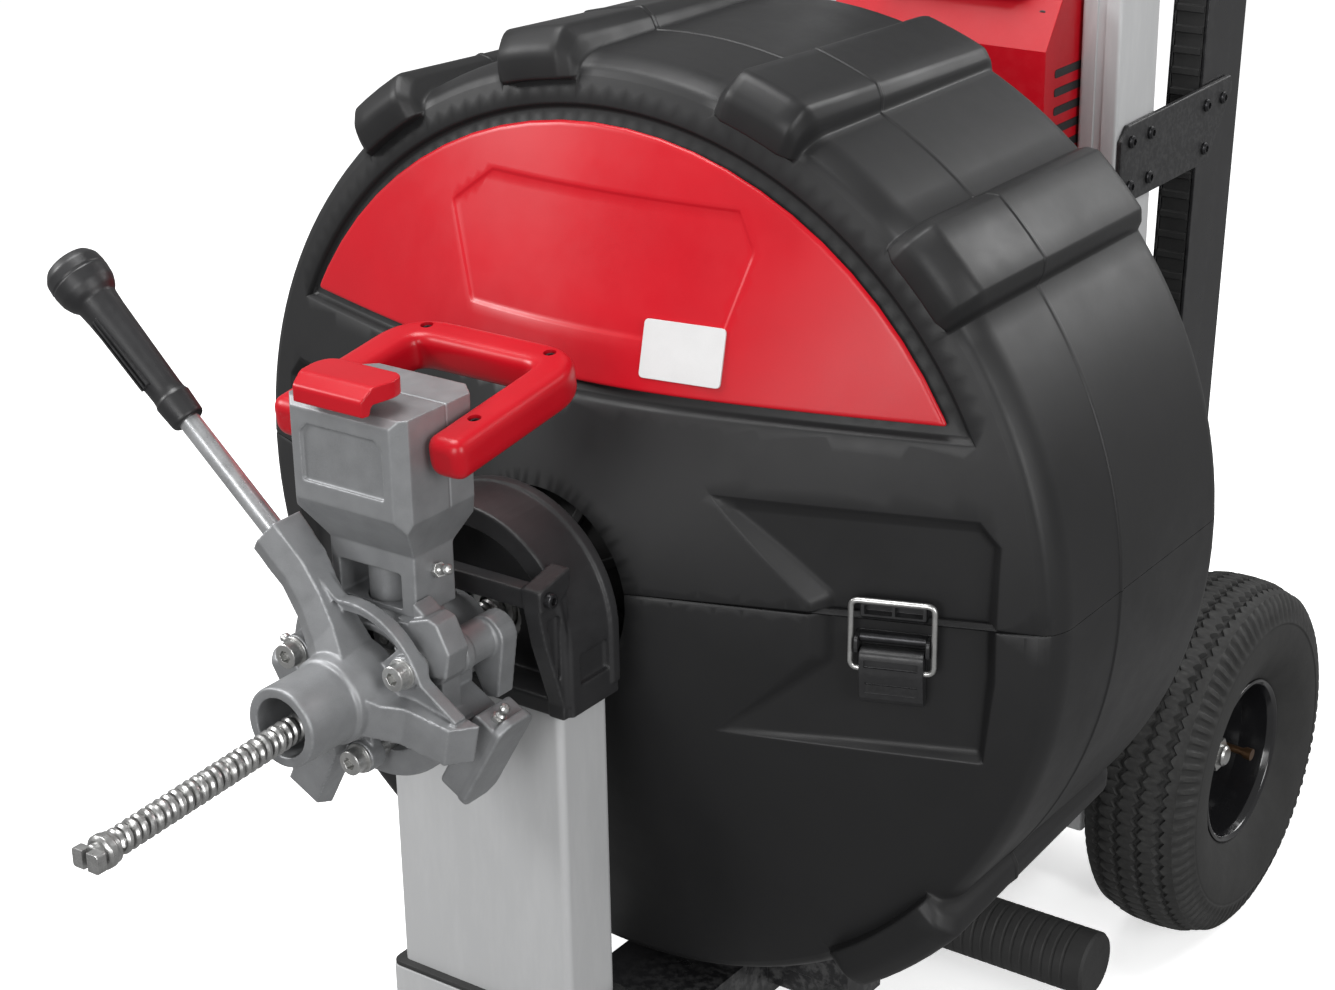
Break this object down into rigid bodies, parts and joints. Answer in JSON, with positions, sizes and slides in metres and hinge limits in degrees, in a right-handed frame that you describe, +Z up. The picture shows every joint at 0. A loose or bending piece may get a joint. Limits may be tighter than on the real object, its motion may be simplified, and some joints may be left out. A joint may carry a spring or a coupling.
{
  "type": "drain snake machine",
  "caption": "Cordless drum drain snake machine: latched black cable drum on a frame, auto-feed head on a front post, wheels, stair tracks and a pull-out handle.",
  "frame": {"origin": "centre of the front foot's sole, on the floor, below the axis of the cable", "axes": "+Z up, +Y from the front foot towards the rear mast; the drain cable leaves along -Y; +X is the right-hand side seen from the front looking along +Y"},
  "size_m": [0.596, 1.0887, 1.124],
  "materials": {
    "rubber": "matt moulded rubber",
    "tyre": "matt tyre rubber with moulded tread",
    "extrusion": "silver anodised extrusion with drawn lines",
    "black_casting": "fine textured black powder coat on cast aluminium",
    "grey_casting": "bead-blasted grey die casting",
    "bright_steel": "turned and zinc plated steel",
    "spring_steel": "dark oiled spring wire",
    "red_plastic": "satin moulded red plastic",
    "black_grip": "fine grained black plastic",
    "shell_black": "grained rotationally moulded black plastic",
    "drum_black": "moulded black plastic",
    "frame_black": "semi-gloss black powder coat",
    "rail_black": "black anodised extrusion"
  },
  "bodies": {
    "root": {"front_foot_pad": "rubber", "track_belt_right": "rubber", "track_belt_left": "rubber", "foot_bar": "rubber", "drive_belt": "rubber", "front_post_sleeve": "extrusion", "front_post": "extrusion", "upright_right": "extrusion", "upright_left": "extrusion", "post_bracket": "black_casting", "mast_bracket_right": "black_casting", "mast_bracket_left": "black_casting", "rear_bearing_block": "black_casting", "feed_body": "grey_casting", "feed_tower": "grey_casting", "front_bearing": "bright_steel", "axle": "bright_steel", "drive_motor": "bright_steel", "pressure_spring": "spring_steel", "carry_handle": "red_plastic", "motor_housing": "red_plastic", "enclosure_lower": "shell_black", "belt_guard": "shell_black", "base_frame": "frame_black", "track_rail_right": "rail_black", "track_rail_left": "rail_black"},
    "yoke": {"feed_yoke": "grey_casting", "lever_rod": "bright_steel", "lever_grip": "black_grip"},
    "top_carrier": {"top_roller_carrier": "grey_casting"},
    "right_carrier": {"right_roller_carrier": "grey_casting"},
    "left_carrier": {"left_roller_carrier": "grey_casting"},
    "top_roller_body": {"top_roller": "bright_steel"},
    "right_roller_body": {"right_roller": "bright_steel"},
    "left_roller_body": {"left_roller": "bright_steel"},
    "clip": {"release_clip": "red_plastic"},
    "drum": {"cable_drum": "drum_black", "cable_coil": "spring_steel", "drum_guide_tube": "bright_steel", "drum_shaft": "bright_steel", "driven_pulley": "grey_casting"},
    "cable": {"drain_cable": "spring_steel", "cable_end_coupling": "bright_steel"},
    "motor_shaft_pulley": {"motor_pulley": "bright_steel"},
    "upper_shell": {"enclosure_upper": "shell_black", "front_panel": "red_plastic"},
    "latch_lever_right": {"latch_right_lever": "black_grip"},
    "latch_lever_left": {"latch_left_lever": "black_grip"},
    "latch_bail_right": {"latch_right_bail": "bright_steel"},
    "latch_bail_left": {"latch_left_bail": "bright_steel"},
    "wheel_right": {"wheel_rim_right": "frame_black", "tyre_right": "tyre"},
    "wheel_left": {"wheel_rim_left": "frame_black", "tyre_left": "tyre"},
    "track_drive": {"track_drive_shaft": "bright_steel"},
    "idler_right": {"track_idler_right": "bright_steel"},
    "idler_left": {"track_idler_left": "bright_steel"},
    "pull_handle": {"telescopic_handle": "frame_black"},
    "battery_pack": {"battery": "black_grip"},
    "switch": {"power_switch": "black_grip"}
  },
  "joints": [
    {"name": "feed_lever", "type": "hinge", "parent": "root", "child": "yoke", "pos_m": [0, -0.118, 0.43], "axis": [0, 1, 0], "range_deg": [-16, 2]},
    {"name": "top_carrier_turn", "type": "hinge", "parent": "root", "child": "top_carrier", "pos_m": [0, -0.084, 0.43], "axis": [0, 0, 1], "range_deg": [-13.8, 1.75]},
    {"name": "right_carrier_turn", "type": "hinge", "parent": "root", "child": "right_carrier", "pos_m": [0, -0.084, 0.43], "axis": [0.866, 0, -0.5], "range_deg": [-13.8, 1.75]},
    {"name": "left_carrier_turn", "type": "hinge", "parent": "root", "child": "left_carrier", "pos_m": [0, -0.084, 0.43], "axis": [-0.866, 0, -0.5], "range_deg": [-13.8, 1.75]},
    {"name": "top_roller_spin", "type": "hinge", "parent": "top_carrier", "child": "top_roller_body", "pos_m": [0, -0.084, 0.4486], "axis": [0, 1, 0], "continuous": true},
    {"name": "right_roller_spin", "type": "hinge", "parent": "right_carrier", "child": "right_roller_body", "pos_m": [0.01611, -0.084, 0.4207], "axis": [0, 1, 0], "continuous": true},
    {"name": "left_roller_spin", "type": "hinge", "parent": "left_carrier", "child": "left_roller_body", "pos_m": [-0.01611, -0.084, 0.4207], "axis": [0, 1, 0], "continuous": true},
    {"name": "release_clip_lift", "type": "hinge", "parent": "root", "child": "clip", "pos_m": [0, -0.095, 0.601], "axis": [-1, 0, 0], "range_deg": [0, 35]},
    {"name": "drum_spin", "type": "hinge", "parent": "root", "child": "drum", "pos_m": [0, 0.2, 0.43], "axis": [0, 1, 0], "continuous": true},
    {"name": "cable_feed", "type": "slide", "parent": "drum", "child": "cable", "axis": [0, -1, 0], "range_m": [0, 0.12]},
    {"name": "motor_spin", "type": "hinge", "parent": "root", "child": "motor_shaft_pulley", "pos_m": [0, 0.587, 0.64], "axis": [0, 1, 0], "continuous": true},
    {"name": "upper_shell_lift", "type": "slide", "parent": "root", "child": "upper_shell", "axis": [0, 0, 1], "range_m": [0, 0.32]},
    {"name": "latch_right_lever_flip", "type": "hinge", "parent": "root", "child": "latch_lever_right", "pos_m": [0.20932, 0.10038, 0.42], "axis": [-0.9397, -0.342, 0], "range_deg": [0, 90]},
    {"name": "latch_right_bail_swing", "type": "hinge", "parent": "latch_lever_right", "child": "latch_bail_right", "pos_m": [0.21034, 0.09756, 0.408], "axis": [-0.9397, -0.342, 0], "range_deg": [-90.5, 0.5]},
    {"name": "latch_left_lever_flip", "type": "hinge", "parent": "root", "child": "latch_lever_left", "pos_m": [-0.20932, 0.10038, 0.42], "axis": [-0.9397, 0.342, 0], "range_deg": [0, 90]},
    {"name": "latch_left_bail_swing", "type": "hinge", "parent": "latch_lever_left", "child": "latch_bail_left", "pos_m": [-0.21034, 0.09756, 0.408], "axis": [-0.9397, 0.342, 0], "range_deg": [-90.5, 0.5]},
    {"name": "wheel_right_spin", "type": "hinge", "parent": "root", "child": "wheel_right", "pos_m": [0.196, 0.589, 0.1355], "axis": [1, 0, 0], "continuous": true},
    {"name": "wheel_left_spin", "type": "hinge", "parent": "root", "child": "wheel_left", "pos_m": [-0.196, 0.589, 0.1355], "axis": [1, 0, 0], "continuous": true},
    {"name": "track_drive_spin", "type": "hinge", "parent": "root", "child": "track_drive", "pos_m": [0, 0.73578, 0.94062], "axis": [1, 0, 0], "continuous": true},
    {"name": "track_idler_right_spin", "type": "hinge", "parent": "root", "child": "idler_right", "pos_m": [0.104, 0.688, 0.112], "axis": [1, 0, 0], "continuous": true},
    {"name": "track_idler_left_spin", "type": "hinge", "parent": "root", "child": "idler_left", "pos_m": [-0.104, 0.688, 0.112], "axis": [1, 0, 0], "continuous": true},
    {"name": "pull_handle_slide", "type": "slide", "parent": "root", "child": "pull_handle", "axis": [0, 0, 1], "range_m": [0, 0.25]},
    {"name": "battery_slide", "type": "slide", "parent": "root", "child": "battery_pack", "axis": [0, 0, 1], "range_m": [0, 0.09]},
    {"name": "power_switch_rock", "type": "hinge", "parent": "root", "child": "switch", "pos_m": [-0.07, 0.54, 0.7], "axis": [1, 0, 0], "range_deg": [-8, 8]}
  ],
  "couplings": [
    {"joint": "top_carrier_turn", "follows": "feed_lever", "ratio": 0.857},
    {"joint": "right_carrier_turn", "follows": "feed_lever", "ratio": 0.857},
    {"joint": "left_carrier_turn", "follows": "feed_lever", "ratio": 0.857},
    {"joint": "latch_right_bail_swing", "follows": "latch_right_lever_flip", "ratio": -1},
    {"joint": "latch_left_bail_swing", "follows": "latch_left_lever_flip", "ratio": -1},
    {"joint": "motor_spin", "follows": "drum_spin", "ratio": 2.652},
    {"joint": "track_idler_right_spin", "follows": "track_drive_spin", "ratio": 1},
    {"joint": "track_idler_left_spin", "follows": "track_drive_spin", "ratio": 1}
  ]
}
